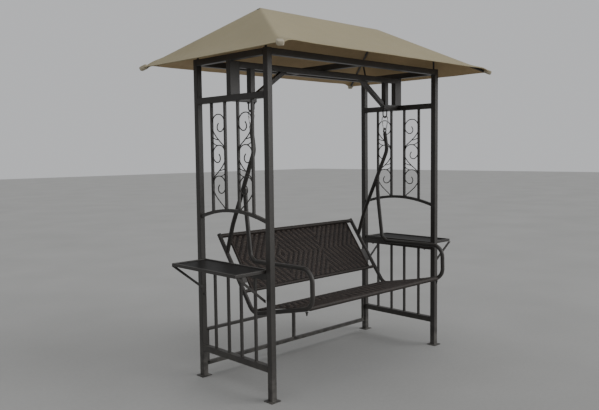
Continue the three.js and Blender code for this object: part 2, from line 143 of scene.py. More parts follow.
def makeDustGroup():    # pale dust on what faces up, and thrown up from the ground near the feet
    group, into, out = newGroup("dust", [
        ("Top", "NodeSocketFloat", 0.3), ("Foot", "NodeSocketFloat", 0.3),
        ("Reach", "NodeSocketFloat", 0.25)],
        [("Mask", "NodeSocketFloat")])
    place = objectPlace(group)
    up = axesOf(group, addNode(group, "ShaderNodeNewGeometry").outputs["Normal"])[2]
    height = axesOf(group, place)[2]
    patchy = clampedRange(group, noiseOf(group, place, 22.0, 6.0), 0.38, 0.62)
    flat = clampedRange(group, up, 0.55, 0.95)
    low = mathNode(group, "SUBTRACT", 1.0, mathNode(group, "DIVIDE", height, into.outputs["Reach"]))
    onTop = mathNode(group, "MULTIPLY", flat, into.outputs["Top"])
    onFoot = mathNode(group, "MULTIPLY", mathNode(group, "MAXIMUM", low, 0.0), into.outputs["Foot"])
    mask = mathNode(group, "MULTIPLY", mathNode(group, "ADD", onTop, onFoot), patchy)
    group.links.new(mathNode(group, "MINIMUM", mask, 1.0), out.inputs["Mask"])
    return group


def makePeelGroup():    # fine skin of a sprayed or moulded surface, as a normal
    group, into, out = newGroup("peel", [
        ("Scale", "NodeSocketFloat", 400.0), ("Strength", "NodeSocketFloat", 0.15),
        ("Depth", "NodeSocketFloat", 0.0004)], [("Normal", "NodeSocketVector")])
    place = objectPlace(group)
    skin = noiseOf(group, place, into.outputs["Scale"], 2.0)
    bump = addNode(group, "ShaderNodeBump", {"Strength": into.outputs["Strength"],
                                             "Distance": into.outputs["Depth"], "Height": skin})
    group.links.new(bump.outputs[0], out.inputs["Normal"])
    return group


def makeWearGroup():    # mask on corners that hands and boxes rub
    group, into, out = newGroup("edgeWear", [
        ("Width", "NodeSocketFloat", 0.002), ("Amount", "NodeSocketFloat", 0.5)],
        [("Mask", "NodeSocketFloat")])
    place = objectPlace(group)
    soft = addNode(group, "ShaderNodeBevel", {"Radius": into.outputs["Width"]}, samples=4)
    plain = addNode(group, "ShaderNodeNewGeometry").outputs["Normal"]
    facing = addNode(group, "ShaderNodeVectorMath", {0: soft.outputs[0], 1: plain}, operation="DOT_PRODUCT")
    corner = clampedRange(group, facing.outputs["Value"], 0.985, 0.90)
    rubbed = clampedRange(group, noiseOf(group, place, 45.0, 5.0), 0.5, 0.62)
    mask = mathNode(group, "MULTIPLY", mathNode(group, "MULTIPLY", corner, rubbed), into.outputs["Amount"])
    group.links.new(mask, out.inputs["Mask"])
    return group


def makeWeaveGroup():    # plain weave of fine yarns from a cloth's own UV in metres
    group, into, out = newGroup("clothWeave", [
        ("Yarn", "NodeSocketFloat", 0.0012), ("Depth", "NodeSocketFloat", 0.0004),
        ("Strength", "NodeSocketFloat", 0.4)],
        [("Normal", "NodeSocketVector"), ("Height", "NodeSocketFloat")])
    flat = axesOf(group, addNode(group, "ShaderNodeUVMap", uv_map="cloth").outputs[0])
    turns = mathNode(group, "DIVIDE", math.pi, into.outputs["Yarn"])
    warp = mathNode(group, "SINE", mathNode(group, "MULTIPLY", flat[0], turns))
    weft = mathNode(group, "SINE", mathNode(group, "MULTIPLY", flat[1], turns))
    height = mathNode(group, "MULTIPLY_ADD", mathNode(group, "MULTIPLY", warp, weft), 0.5, 0.5)
    bump = addNode(group, "ShaderNodeBump", {"Strength": into.outputs["Strength"],
                                             "Distance": into.outputs["Depth"], "Height": height})
    group.links.new(bump.outputs[0], out.inputs["Normal"])
    group.links.new(height, out.inputs["Height"])
    return group


groups = {"clouds": makeCloudGroup(), "dust": makeDustGroup(), "peel": makePeelGroup(),
          "wear": makeWearGroup(), "weave": makeWeaveGroup()}


def placeGroup(tree, key, inputs):
    return addNode(tree, "ShaderNodeGroup", inputs, node_tree=groups[key])


def newMaterial(name, fixed=None):
    material = bpy.data.materials.new(name)
    material.use_nodes = True
    tree = material.node_tree
    shader = next(node for node in tree.nodes if node.type == "BSDF_PRINCIPLED")
    for label, value in (fixed or {}).items():
        shader.inputs[label].default_value = value
    return material, tree, shader


def paintMaterial(name, look):    # sprayed or baked paint on metal
    material, tree, shader = newMaterial(name, {"IOR": 1.5, "Specular IOR Level": look["shine"]})
    cloud = placeGroup(tree, "clouds", {"Light": look["light"], "Dark": look["dark"],
                                        "Size": 2.6, "Mottle": 70.0})
    dust = placeGroup(tree, "dust", {"Top": look["dustTop"], "Foot": look["dustFoot"]}).outputs[0]
    wear = placeGroup(tree, "wear", {"Width": 0.0022, "Amount": look["wear"]}).outputs[0]
    worn = mixColour(tree, wear, cloud.outputs[0], look["bare"])
    colour = mixColour(tree, dust, worn, look["dust"])
    tree.links.new(colour, shader.inputs["Base Color"])
    rough = mathNode(tree, "MULTIPLY_ADD", dust, 0.35, look["rough"])
    tree.links.new(rough, shader.inputs["Roughness"])
    tree.links.new(mathNode(tree, "MULTIPLY", wear, 0.8), shader.inputs["Metallic"])
    peel = placeGroup(tree, "peel", {"Scale": look["peelScale"], "Strength": look["peel"]})
    tree.links.new(peel.outputs[0], shader.inputs["Normal"])
    return material


bronzeLook = {
    "light": (0.058, 0.054, 0.049, 1), "dark": (0.041, 0.037, 0.034, 1), "bare": (0.22, 0.20, 0.18, 1),
    "dust": (0.22, 0.21, 0.19, 1), "dustTop": 0.22, "dustFoot": 0.45, "wear": 0.35,
    "rough": 0.37, "peel": 0.22, "peelScale": 420.0, "shine": 0.5,
}
trayLook = dict(bronzeLook, light=(0.022, 0.021, 0.020, 1), dark=(0.015, 0.014, 0.013, 1),
                rough=0.40, peel=0.10, dustTop=0.04, dustFoot=0.0, wear=0.2, shine=0.09)
boltLook = dict(bronzeLook, light=(0.040, 0.038, 0.036, 1), dark=(0.022, 0.021, 0.020, 1),
                rough=0.34, peel=0.08, dustTop=0.1, wear=0.8)
plugLook = dict(bronzeLook, light=(0.018, 0.018, 0.018, 1), dark=(0.012, 0.012, 0.012, 1),
                rough=0.5, peel=0.3, peelScale=700.0, dustTop=0.3, wear=0.0)
bronze = paintMaterial("bronzePaint", bronzeLook)
trayPaint = paintMaterial("traySheetPaint", trayLook)
darkSteel = paintMaterial("darkBoltSteel", boltLook)
blackPlug = paintMaterial("blackPlug", plugLook)


def makeChrome():
    material, tree, shader = newMaterial("brightChrome", {"Metallic": 1})
    cloud = placeGroup(tree, "clouds", {"Light": (0.80, 0.81, 0.82, 1), "Dark": (0.58, 0.58, 0.59, 1),
                                        "Size": 60.0, "Mottle": 400.0})
    tree.links.new(cloud.outputs[0], shader.inputs["Base Color"])
    dust = placeGroup(tree, "dust", {"Top": 0.4, "Foot": 0.0}).outputs[0]
    tree.links.new(mathNode(tree, "MULTIPLY_ADD", dust, 0.3, 0.12), shader.inputs["Roughness"])
    peel = placeGroup(tree, "peel", {"Scale": 900.0, "Strength": 0.06})
    tree.links.new(peel.outputs[0], shader.inputs["Normal"])
    return material


chrome = makeChrome()

reedLook = {
    # warp and weft are the same resin: the weft is painted lighter and the warp darker, as painted light and
    # shade on the two float directions
    "warp": ((0.030, 0.021, 0.018, 1), (0.014, 0.010, 0.009, 1)),
    "weft": ((0.062, 0.044, 0.035, 1), (0.034, 0.024, 0.020, 1)),
    "wrap": ((0.046, 0.035, 0.029, 1), (0.022, 0.017, 0.014, 1)),
    "dust": (0.16, 0.15, 0.13, 1), "dustTop": 0.07, "rough": 0.40, "turn": 0.0085,
}


def reedMaterial(name, light, dark, wrapped=False):    # moulded resin strand with streaks along it
    material, tree, shader = newMaterial(name, {"IOR": 1.46})
    if wrapped:    # turns of a strand round a rail, one tone for each turn
        place = objectPlace(tree)
        turn = mathNode(tree, "FLOOR", mathNode(tree, "DIVIDE", axesOf(tree, place)[0], reedLook["turn"]))
        seed = addNode(tree, "ShaderNodeTexWhiteNoise", {"W": turn}, noise_dimensions="1D").outputs["Value"]
        streakPlace = addNode(tree, "ShaderNodeMapping", {0: place, 3: (900, 40, 40)}).outputs[0]
    else:
        grain = addNode(tree, "ShaderNodeAttribute", attribute_name="strand").outputs["Vector"]
        seed = axesOf(tree, grain)[2]
        streakPlace = addNode(tree, "ShaderNodeMapping", {0: grain, 3: (900, 12, 50)}).outputs[0]
    streak = noiseOf(tree, streakPlace, 1.0, 4.0)
    tone = mathNode(tree, "MULTIPLY_ADD", seed, 0.6, mathNode(tree, "MULTIPLY", streak, 0.55))
    colour = mixColour(tree, clampedRange(tree, tone, 0.15, 0.95), dark, light)
    dust = placeGroup(tree, "dust", {"Top": reedLook["dustTop"], "Foot": 0.0}).outputs[0]
    tree.links.new(mixColour(tree, dust, colour, reedLook["dust"]), shader.inputs["Base Color"])
    rough = mathNode(tree, "MULTIPLY_ADD", streak, 0.25, reedLook["rough"])
    tree.links.new(rough, shader.inputs["Roughness"])
    bump = addNode(tree, "ShaderNodeBump", {"Strength": 0.35, "Distance": 0.0004, "Height": streak})
    tree.links.new(bump.outputs[0], shader.inputs["Normal"])
    return material


# lit and shaded copies of one resin: painted light on the weft, painted shade on the warp
reedWarpShaded = reedMaterial("resinReedWarpShaded", *reedLook["warp"])
reedWeftLit = reedMaterial("resinReedWeftLit", *reedLook["weft"])
reedWrap = reedMaterial("resinReedWrap", *reedLook["wrap"], wrapped=True)

clothLook = {
    "top": ((0.435, 0.374, 0.225, 1), (0.388, 0.332, 0.197, 1)),
    # warmer, richer copy of the canvas colour for the underside: painted shade and light shining through the
    # cloth
    "shadedUnderside": ((0.54, 0.39, 0.21, 1), (0.46, 0.33, 0.172, 1)),
    "trim": ((0.56, 0.50, 0.37, 1), (0.49, 0.435, 0.32, 1)),
    "rough": 0.82,
}


def clothMaterial(name, light, dark, stain=0.0):
    material, tree, shader = newMaterial(name, {"Sheen Weight": 0.12, "Sheen Roughness": 0.5,
                                                "Specular IOR Level": 0.25, "Roughness": clothLook["rough"]})
    cloud = placeGroup(tree, "clouds", {"Light": light, "Dark": dark, "Size": 1.8, "Mottle": 26.0})
    weave = placeGroup(tree, "weave", {"Yarn": 0.0011, "Strength": 0.45})
    # painted shade: the canvas colour darkens in the hollows between the yarns
    shaded = mixColour(tree, mathNode(tree, "MULTIPLY_ADD", weave.outputs[1], -0.16, 0.16),
                       cloud.outputs[0], (0.20, 0.17, 0.12, 1))
    dust = placeGroup(tree, "dust", {"Top": stain, "Foot": 0.0}).outputs[0]
    tree.links.new(mixColour(tree, dust, shaded, (0.34, 0.31, 0.25, 1)), shader.inputs["Base Color"])
    tree.links.new(weave.outputs[0], shader.inputs["Normal"])
    return material


clothTop = clothMaterial("canvasTop", *clothLook["top"], stain=0.16)
# underside copy of the canvas: painted shade and light shining through the cloth
clothShadedUnderside = clothMaterial("canvasShadedUnderside", *clothLook["shadedUnderside"])
clothTrim = clothMaterial("canvasTrim", *clothLook["trim"], stain=0.1)
print("materials made:", len(bpy.data.materials))


def camel(node):
    first, *rest = node.split("_")
    return first + "".join(word.title() for word in rest)


def makePiece(bm, name, body, slotName, material, nodes=(), smooth=35, level=False, settle=True):
    if settle:    # joins doubled corners and turns every face outwards
        bmesh.ops.remove_doubles(bm, verts=bm.verts, dist=1e-6)
        bmesh.ops.recalc_face_normals(bm, faces=bm.faces)
    mesh = bpy.data.meshes.new(name)
    bm.to_mesh(mesh)
    bm.free()
    piece = bpy.data.objects.new(name, mesh)
    bpy.context.scene.collection.objects.link(piece)
    for one in material if isinstance(material, (list, tuple)) else [material]:
        mesh.materials.append(one)
    mesh.shade_smooth()
    if smooth < 180:
        mesh.set_sharp_from_angle(angle=math.radians(smooth))
    if level:    # keeps the flats of a softened square tube flat in the light
        piece.modifiers.new("flats", "WEIGHTED_NORMAL").keep_sharp = True
    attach(piece, body)
    if nodes:
        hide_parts(*nodes)
    return piece


def standIn(bm, node, slotName="painted_frame", material=bronze, **how):    # a piece in place of one node
    return makePiece(bm, camel(node), bodyOf[node], slotName, material, [node], **how)


def thicken(piece, thickness, offset):
    wall = piece.modifiers.new("thickness", "SOLIDIFY")
    wall.thickness = thickness
    wall.offset = offset
    return wall


def soften(bm, edges, offset, segments=3):
    bmesh.ops.bevel(bm, geom=list(edges), offset=offset, offset_type="OFFSET", segments=segments,
                    profile=0.5, affect="EDGES", material=-1)


def drawUp(bm, face, way):    # thickens a flat face into a block
    grown = bmesh.ops.extrude_face_region(bm, geom=face, use_keep_orig=True)["geom"]
    bmesh.ops.translate(bm, verts=[v for v in grown if isinstance(v, bmesh.types.BMVert)], vec=way)


def drawOut(bm, face, way, step):    # takes a tube's end face onward, leaving no wall behind it
    grown = bmesh.ops.extrude_face_region(bm, geom=[face])["geom"]
    if step:
        bmesh.ops.delete(bm, geom=[face], context="FACES_ONLY")
    face = next(g for g in grown if isinstance(g, bmesh.types.BMFace))
    bmesh.ops.translate(bm, verts=face.verts[:], vec=way)
    return face


def addBar(bm, start, end, wide, deep, side=(1, 0, 0), soft=0.003, segments=3):
    start, end = Vector(start), Vector(end)
    along = (end - start).normalized()
    across = (Vector(side) - along * along.dot(Vector(side))).normalized()
    turn = Matrix((across, along.cross(across), along)).transposed().to_4x4()
    size = Matrix.Diagonal((wide, deep, (end - start).length, 1))
    place = Matrix.Translation((start + end) / 2) @ turn @ size
    made = bmesh.ops.create_cube(bm, size=1, matrix=place)["verts"]
    edges = {e for v in made for e in v.link_edges}
    longEdges = [e for e in edges if abs((e.verts[1].co - e.verts[0].co).normalized().dot(along)) > 0.99]
    soften(bm, longEdges, soft, segments)


def addBlock(bm, low, high, soft):    # box with every edge softened
    low, high = Vector(low), Vector(high)
    place = Matrix.Translation((low + high) / 2) @ Matrix.Diagonal((*(high - low), 1))
    made = bmesh.ops.create_cube(bm, size=1, matrix=place)["verts"]
    soften(bm, {e for v in made for e in v.link_edges}, soft)


def addBoxTube(bm, node, axis):    # square tube that fills a node's box along one axis
    low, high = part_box(node)
    start, end = (low + high) / 2, (low + high) / 2
    start[axis], end[axis] = low[axis], high[axis]
    side, third = (axis + 1) % 3, (axis + 2) % 3
    direction = Vector((0, 0, 0))
    direction[side] = 1
    addBar(bm, start, end, high[side] - low[side], high[third] - low[third], direction)


def turnTo(axis):
    return Vector((0, 0, 1)).rotation_difference(Vector(axis)).to_matrix().to_4x4()


def addRod(bm, start, end, diameter, facets=20):
    start, end = Vector(start), Vector(end)
    place = Matrix.Translation((start + end) / 2) @ turnTo(end - start)
    bmesh.ops.create_cone(bm, cap_ends=True, segments=facets, radius1=diameter / 2,
                          radius2=diameter / 2, depth=(end - start).length, matrix=place)


def addPipe(bm, points, diameter, ring=False, fatness=None, resolution=6, smoothLine=0):
    line = bpy.data.curves.new("line", "CURVE")
    line.dimensions = "3D"
    line.bevel_depth = diameter / 2
    line.bevel_resolution = resolution
    line.use_fill_caps = not ring
    spline = line.splines.new("BEZIER" if smoothLine else "POLY")
    if smoothLine:
        line.resolution_u = smoothLine
        spline.bezier_points.add(len(points) - 1)
        for knot, point in zip(spline.bezier_points, points):
            knot.co = point
            knot.handle_left_type = knot.handle_right_type = "AUTO"
    else:
        spline.points.add(len(points) - 1)
        for i, point in enumerate(points):
            spline.points[i].co = (*point, 1)
            spline.points[i].radius = fatness[i] if fatness else 1
    spline.use_cyclic_u = ring
    holder = bpy.data.objects.new("line", line)
    bpy.context.scene.collection.objects.link(holder)
    bpy.context.view_layer.update()
    mesh = bpy.data.meshes.new_from_object(holder.evaluated_get(bpy.context.evaluated_depsgraph_get()))
    bm.from_mesh(mesh)
    bpy.data.meshes.remove(mesh)
    bpy.data.objects.remove(holder)
    bpy.data.curves.remove(line)


def roundedPath(x, corners, radii, steps=10):    # path of a bent tube in the plane at x
    points = [Vector((x, y, z)) for y, z in corners]
    path = [points[0]]
    for before, here, after, radius in zip(points, points[1:], points[2:], radii):
        back, onward = (before - here).normalized(), (after - here).normalized()
        half = back.angle(onward) / 2
        middle = here + (back + onward).normalized() * radius / math.sin(half)
        start = (here + back * radius / math.tan(half) - middle).normalized()
        finish = (here + onward * radius / math.tan(half) - middle).normalized()
        path += [middle + start.slerp(finish, k / steps) * radius for k in range(steps + 1)]
    return path + [points[-1]]


def addBead(bm, centre, axis, wide, deep, thick=0.0016):    # weld bead round the end of a square bar
    turn = turnTo(axis)
    points, fat = [], []
    for sx, sy, dx, dy in ((-1, -1, 1, 0), (1, -1, 0, 1), (1, 1, -1, 0), (-1, 1, 0, -1)):
        for k in range(6):
            t = (k + 0.5) / 3
            spot = Vector(((sx + dx * t) * wide / 2, (sy + dy * t) * deep / 2, 0))
            points.append(Vector(centre) + turn @ spot)
            fat.append(jitter.uniform(0.75, 1.25))
    addPipe(bm, points, 2 * thick, ring=True, fatness=fat, resolution=1)


bolt = {"across": 0.013, "high": 0.006, "soft": 0.0012, "washer": 0.018, "washerHigh": 0.0015}


def addBolt(bm, centre, axis):    # hexagon head on its washer
    centre, axis = Vector(centre), Vector(axis).normalized()
    addRod(bm, centre, centre + axis * bolt["washerHigh"], bolt["washer"], 24)
    head = len(bm.verts)
    middle = centre + axis * (bolt["washerHigh"] + bolt["high"] / 2)
    bmesh.ops.create_cone(bm, cap_ends=True, segments=6, radius1=bolt["across"] / 2,
                          radius2=bolt["across"] / 2, depth=bolt["high"],
                          matrix=Matrix.Translation(middle) @ turnTo(axis))
    bm.verts.ensure_lookup_table()
    soften(bm, {e for v in bm.verts[head:] for e in v.link_edges
                if min((w.co - centre).dot(axis) for w in e.verts) > bolt["high"]}, bolt["soft"], 2)


def addLathe(bm, centre, axis, outline, steps=28):    # outline of (radius, distance along the axis)
    place = Matrix.Translation(Vector(centre)) @ turnTo(axis)
    knots = [bm.verts.new(place @ Vector((r, 0, d))) for r, d in outline]
    edges = [bm.edges.new(pair) for pair in zip(knots, knots[1:])]
    bmesh.ops.spin(bm, geom=knots + edges, cent=place.translation, axis=place.to_3x3() @ Vector((0, 0, 1)),
                   angle=2 * math.pi, steps=steps, use_merge=True)


postLow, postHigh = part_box("post_front_right")
tube = postHigh.x - postLow.x
postX, postY, postTop = (postLow.x + postHigh.x) / 2, -(postLow.y + postHigh.y) / 2, postHigh.z
gap = 0.0003    # left between pieces that meet

postTrim = {"plugHigh": 0.0022, "plugInset": 0.0008, "plugSunk": 0.003, "plugSoft": 0.002,
            "bead": 0.0022, "plateSoft": 0.006}

for end, sy in ends.items():
    for side, sx in sides.items():
        node = f"post_{end}_{side}"
        bm = bmesh.new()
        addBoxTube(bm, node, 2)
        standIn(bm, node, level=True)
        node = f"foot_plate_{end}_{side}"
        low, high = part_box(node)
        bm = bmesh.new()
        addBar(bm, (sx * postX, sy * postY, low.z), (sx * postX, sy * postY, high.z),
               high.x - low.x, high.y - low.y, soft=postTrim["plateSoft"], segments=4)
        addBead(bm, (sx * postX, sy * postY, high.z + 0.001), (0, 0, 1), tube, tube, postTrim["bead"])
        standIn(bm, node)
        bm = bmesh.new()
        half = tube / 2 - postTrim["plugInset"]
        addBlock(bm, (sx * postX - half, sy * postY - half, postTop - postTrim["plugSunk"]),
                 (sx * postX + half, sy * postY + half, postTop + postTrim["plugHigh"]), postTrim["plugSoft"])
        makePiece(bm, f"postPlug{end.title()}{side.title()}", "stand", "dark_bolt", blackPlug)

beams = {"top_beam_front": 0, "top_beam_rear": 0, "top_beam_left": 1, "top_beam_right": 1, "cross_beam": 1,
         "middle_beam": 0}    # each node's long axis
for name, axis in (("outer_upright", 2), ("inner_upright", 2), ("hanger_beam", 0)):
    beams.update({f"{name}_{side}": axis for side in sides})
for node, axis in beams.items():
    bm = bmesh.new()
    addBoxTube(bm, node, axis)
    standIn(bm, node, level=True)

brace = {"deep": 0.037, "soft": 0.0025}    # its depth is measured straight up

for side, sx in sides.items():
    node = f"brace_{side}"
    low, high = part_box(node)
    foot, top = (high.x, low.x) if sx > 0 else (low.x, high.x)
    share = 1 - brace["deep"] / (high.z - low.z)
    outline = [(foot, low.z), (foot, low.z + brace["deep"]),
               (foot + (top - foot) * share, high.z), (top, high.z)]
    bm = bmesh.new()
    face = bm.faces.new([bm.verts.new((x, low.y, z)) for x, z in outline])
    drawUp(bm, [face], (0, high.y - low.y, 0))
    soften(bm, bm.edges, brace["soft"])
    standIn(bm, node, level=True)
print("posts and beams made")


panel = {
    "slat": 0.016, "slatSoft": 0.0018, "slatYs": (-0.196, -0.062, 0.062, 0.196),
    "bottomRail": 0.190, "trayRail": 0.736, "upperRail": 1.780,
    "bowEnd": 1.051, "bowRise": 0.050, "bowBar": 0.020, "bowSteps": 28,
    "rod": 0.007, "scrollTop": 1.690, "scrollPitch": 0.190, "bead": 0.0015,
    "tack": 0.0042, "postBolt": 0.545, "trayBolt": 0.25,
}
clearY = postY - tube / 2 - gap
scrollShape = [(0, -54), (-0.2, -74), (-0.14, -94), (0.2, -106), (0.7, -96), (1, -63), (0.76, -20), (0, 0),
               (-0.76, -16), (-1, -50), (-1, -88), (-0.62, -124), (0.14, -164), (0.8, -196), (1, -216)]
scrollTacks = [(1, -63), (-1, -69), (1, -214)]
twigDrops = [(-140, -152, -157, 0.02), (-168, -190, -191, 0.12)]


def bowAt(y):
    return panel["bowEnd"] + panel["bowRise"] * (1 - (y / clearY) ** 2)


def addSlat(bm, x, y, low, high):
    addBar(bm, (x, y, low), (x, y, high), panel["slat"], panel["slat"], soft=panel["slatSoft"])


def addSlatBead(bm, x, y, z):
    addBead(bm, (x, y, z), (0, 0, 1), panel["slat"], panel["slat"], panel["bead"])


def addScrollColumn(bm, x, toFront):
    near, far = panel["slatYs"][2], panel["slatYs"][3]
    middle = toFront * (near + far) / 2
    half = (far - near) / 2 - panel["slat"] / 2 + 0.0015
    for i in range(3):
        hand = -toFront * (-1 if i % 2 else 1)
        top = panel["scrollTop"] - i * panel["scrollPitch"]
        knots = [(x, middle + hand * a * half, top + drop / 1000) for a, drop in scrollShape]
        addPipe(bm, knots, panel["rod"], resolution=3, smoothLine=7)
        for a, drop in scrollTacks:    # where it touches a slat
            spot = (x, middle + hand * a * half, top + drop / 1000)
            bmesh.ops.create_icosphere(bm, subdivisions=2, radius=panel["tack"],
                                       matrix=Matrix.Translation(spot) @ Matrix.Diagonal((1, 1, 1.7, 1)))
        if i < 2:
            for first, second, third, share in twigDrops:
                y0, y1, y2 = middle - hand * half, middle - hand * half * 0.7, middle - hand * half * share
                z0, z1, z2 = top + first / 1000, top + second / 1000, top + third / 1000
                bend = [(x, y0 * (1 - t) ** 2 + 2 * y1 * t * (1 - t) + y2 * t * t,
                         z0 * (1 - t) ** 2 + 2 * z1 * t * (1 - t) + z2 * t * t)
                        for t in (k / 8 for k in range(9))]
                addPipe(bm, bend, panel["rod"] - 0.001, resolution=3)


for side, sx in sides.items():
    x = sx * postX
    node = f"side_panel_upper_{side}"
    bm = bmesh.new()
    addBar(bm, (x, -clearY, panel["upperRail"]), (x, clearY, panel["upperRail"]), tube, tube)
    for y in panel["slatYs"]:
        addSlat(bm, x, y, bowAt(y), panel["upperRail"])
        addSlatBead(bm, x, y, panel["upperRail"] - tube / 2)
        addSlatBead(bm, x, y, bowAt(y) + panel["bowBar"] / 2 + 0.0005)
    bowYs = [clearY * (2 * k / panel["bowSteps"] - 1) for k in range(panel["bowSteps"] + 1)]
    bow = [Vector((x, y, bowAt(y))) for y in bowYs]
    place = Matrix.Translation(bow[0]) @ Matrix.Rotation(math.pi / 2, 4, "X")
    first = bmesh.ops.create_grid(bm, x_segments=1, y_segments=1, size=panel["bowBar"] / 2,
                                  matrix=place)["verts"]
    face = first[0].link_faces[0]
    for step, (last, point) in enumerate(zip(bow, bow[1:])):    # the bowed rail is drawn out step by step
        face = drawOut(bm, face, point - last, step)
    for y in (-1, 1):
        addBead(bm, (x, y * clearY * 0.997, bowAt(clearY)), (0, 1, 0),
                panel["bowBar"], panel["bowBar"], panel["bead"])
    addScrollColumn(bm, x, -1)
    addScrollColumn(bm, x, 1)
    standIn(bm, node, level=True)

    node = f"side_panel_lower_{side}"
    bm = bmesh.new()
    for z in (panel["bottomRail"], panel["trayRail"]):
        addBar(bm, (x, -clearY, z), (x, clearY, z), tube, tube)
    for y in panel["slatYs"]:
        addSlat(bm, x, y, panel["bottomRail"], panel["trayRail"])
        addSlatBead(bm, x, y, panel["bottomRail"] + tube / 2)
        addSlatBead(bm, x, y, panel["trayRail"] - tube / 2)
    standIn(bm, node, level=True)

for side, sx in sides.items():    # bolts through the posts and up into the tray rails
    bm = bmesh.new()
    for sy in ends.values():
        addBolt(bm, (sx * postX, sy * (postY - tube / 2), panel["postBolt"]), (0, -sy, 0))
        addBolt(bm, (sx * postX, sy * panel["trayBolt"], panel["trayRail"] - tube / 2), (0, 0, -1))
    makePiece(bm, f"frameBolts{side.title()}", "stand", "dark_bolt", darkSteel)
print("side panels made")


stretcher = {"low": 0.080, "lowHigh": 0.026, "top": 0.304, "bar": 0.020, "soft": 0.002}
clearX = postX - tube / 2 - gap
bm = bmesh.new()
addBar(bm, (-clearX, postY, stretcher["low"]), (clearX, postY, stretcher["low"]),
       stretcher["bar"], stretcher["lowHigh"], (0, 1, 0), stretcher["soft"])
addBar(bm, (-clearX, postY, stretcher["top"]), (clearX, postY, stretcher["top"]),
       stretcher["bar"], stretcher["bar"], (0, 1, 0), stretcher["soft"])
for s in (-1, 0, 1):
    x = s * (clearX - stretcher["bar"] / 2)
    addBar(bm, (x, postY, stretcher["low"]), (x, postY, stretcher["top"]), stretcher["bar"], stretcher["bar"],
           soft=stretcher["soft"])
    for z in (stretcher["low"] + stretcher["lowHigh"] / 2, stretcher["top"] - stretcher["bar"] / 2):
        addBead(bm, (x, postY, z), (0, 0, 1), stretcher["bar"], stretcher["bar"])
makePiece(bm, "rearStretcher", "stand", "painted_frame", bronze, ["rear_stretcher"], level=True)


tray = {"rimWide": 0.014, "soft": 0.0028, "lip": 0.010, "dish": 0.0016, "dishSlope": 0.004, "sheet": 0.0012,
        "strut": 0.014, "strutThin": 0.010, "strutIn": 0.010, "strutSoft": 0.0015}


def borderedSheet(centre, size, border):    # flat rectangle with a border marked round its middle face
    bm = bmesh.new()
    place = Matrix.Translation(centre) @ Matrix.Diagonal((size.x, size.y, 1, 1))
    bmesh.ops.create_grid(bm, x_segments=1, y_segments=1, size=0.5, matrix=place)
    bmesh.ops.inset_region(bm, faces=bm.faces[:], thickness=border, use_boundary=True, use_even_offset=True)
    return bm, min(bm.faces, key=lambda f: (f.calc_center_median() - centre).length)


for side, sx in sides.items():
    node = f"tray_frame_{side}"
    low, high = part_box(node)
    size, middle = high - low, (low + high) / 2
    bm, inner = borderedSheet(Vector((middle.x, middle.y, low.z)), size, tray["rimWide"])
    bmesh.ops.delete(bm, geom=[inner], context="FACES_ONLY")
    drawUp(bm, bm.faces[:], (0, 0, size.z))
    soften(bm, [e for e in bm.edges if len(e.link_faces) == 2 and e.calc_face_angle(0) > 0.5], tray["soft"])
    standIn(bm, node, level=True)

    node = f"tray_sheet_{side}"
    low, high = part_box(node)
    size, middle = high - low, (low + high) / 2
    bm, inner = borderedSheet(Vector((middle.x, middle.y, high.z)), size, tray["lip"])
    bmesh.ops.inset_region(bm, faces=[inner], thickness=tray["dishSlope"], depth=-tray["dish"],
                           use_even_offset=True)
    soften(bm, [e for e in bm.edges if len(e.link_faces) == 2], tray["sheet"], 2)
    thicken(standIn(bm, node, "tray_sheet", trayPaint, smooth=60), tray["sheet"], -1)

    for end, sy in ends.items():
        node = f"tray_strut_{end}_{side}"
        low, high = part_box(node)
        inX, outX = (low.x, high.x) if sx > 0 else (high.x, low.x)
        half = tray["strut"] / 2
        foot = Vector((inX, min(low.y, high.y, key=abs) + sy * half, low.z + tray["strutIn"]))
        head = Vector((outX - sx * tray["strutIn"], max(low.y, high.y, key=abs) - sy * half, high.z))
        reach = (head - foot) * 0.02
        bm = bmesh.new()
        addBar(bm, foot - reach, head + reach, tray["strutThin"], tray["strut"], (0, 1, 0), tray["strutSoft"])
        for spot, way in (((inX, 0, 0), (-sx, 0, 0)), ((0, 0, high.z), (0, 0, 1))):    # cuts both ends flush
            cut = bmesh.ops.bisect_plane(bm, geom=bm.verts[:] + bm.edges[:] + bm.faces[:], plane_co=spot,
                                         plane_no=way, clear_outer=True)["geom_cut"]
            bmesh.ops.holes_fill(bm, edges=[e for e in cut if isinstance(e, bmesh.types.BMEdge)], sides=0)
        standIn(bm, node, level=True)
print("trays made")


hang = {"boltRod": 0.009, "boltHalf": 0.022, "boltLow": 1.7045, "nut": 0.018, "nutHigh": 0.007,
        "washer": 0.022, "washerHigh": 0.0018, "nutLow": 0.0053, "linkRod": 0.008, "linkBottom": 1.613}
hangX = (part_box("side_tube_right")[0].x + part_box("side_tube_right")[1].x) / 2
linkTop = hang["boltLow"] + hang["boltRod"] / 2 + hang["linkRod"] / 2 + gap
pearHalf = [(0.020, linkTop - 0.005), (0.027, linkTop - 0.022), (0.022, linkTop - 0.050),
            (0.014, hang["linkBottom"] + 0.016), (0.009, hang["linkBottom"] + 0.004)]

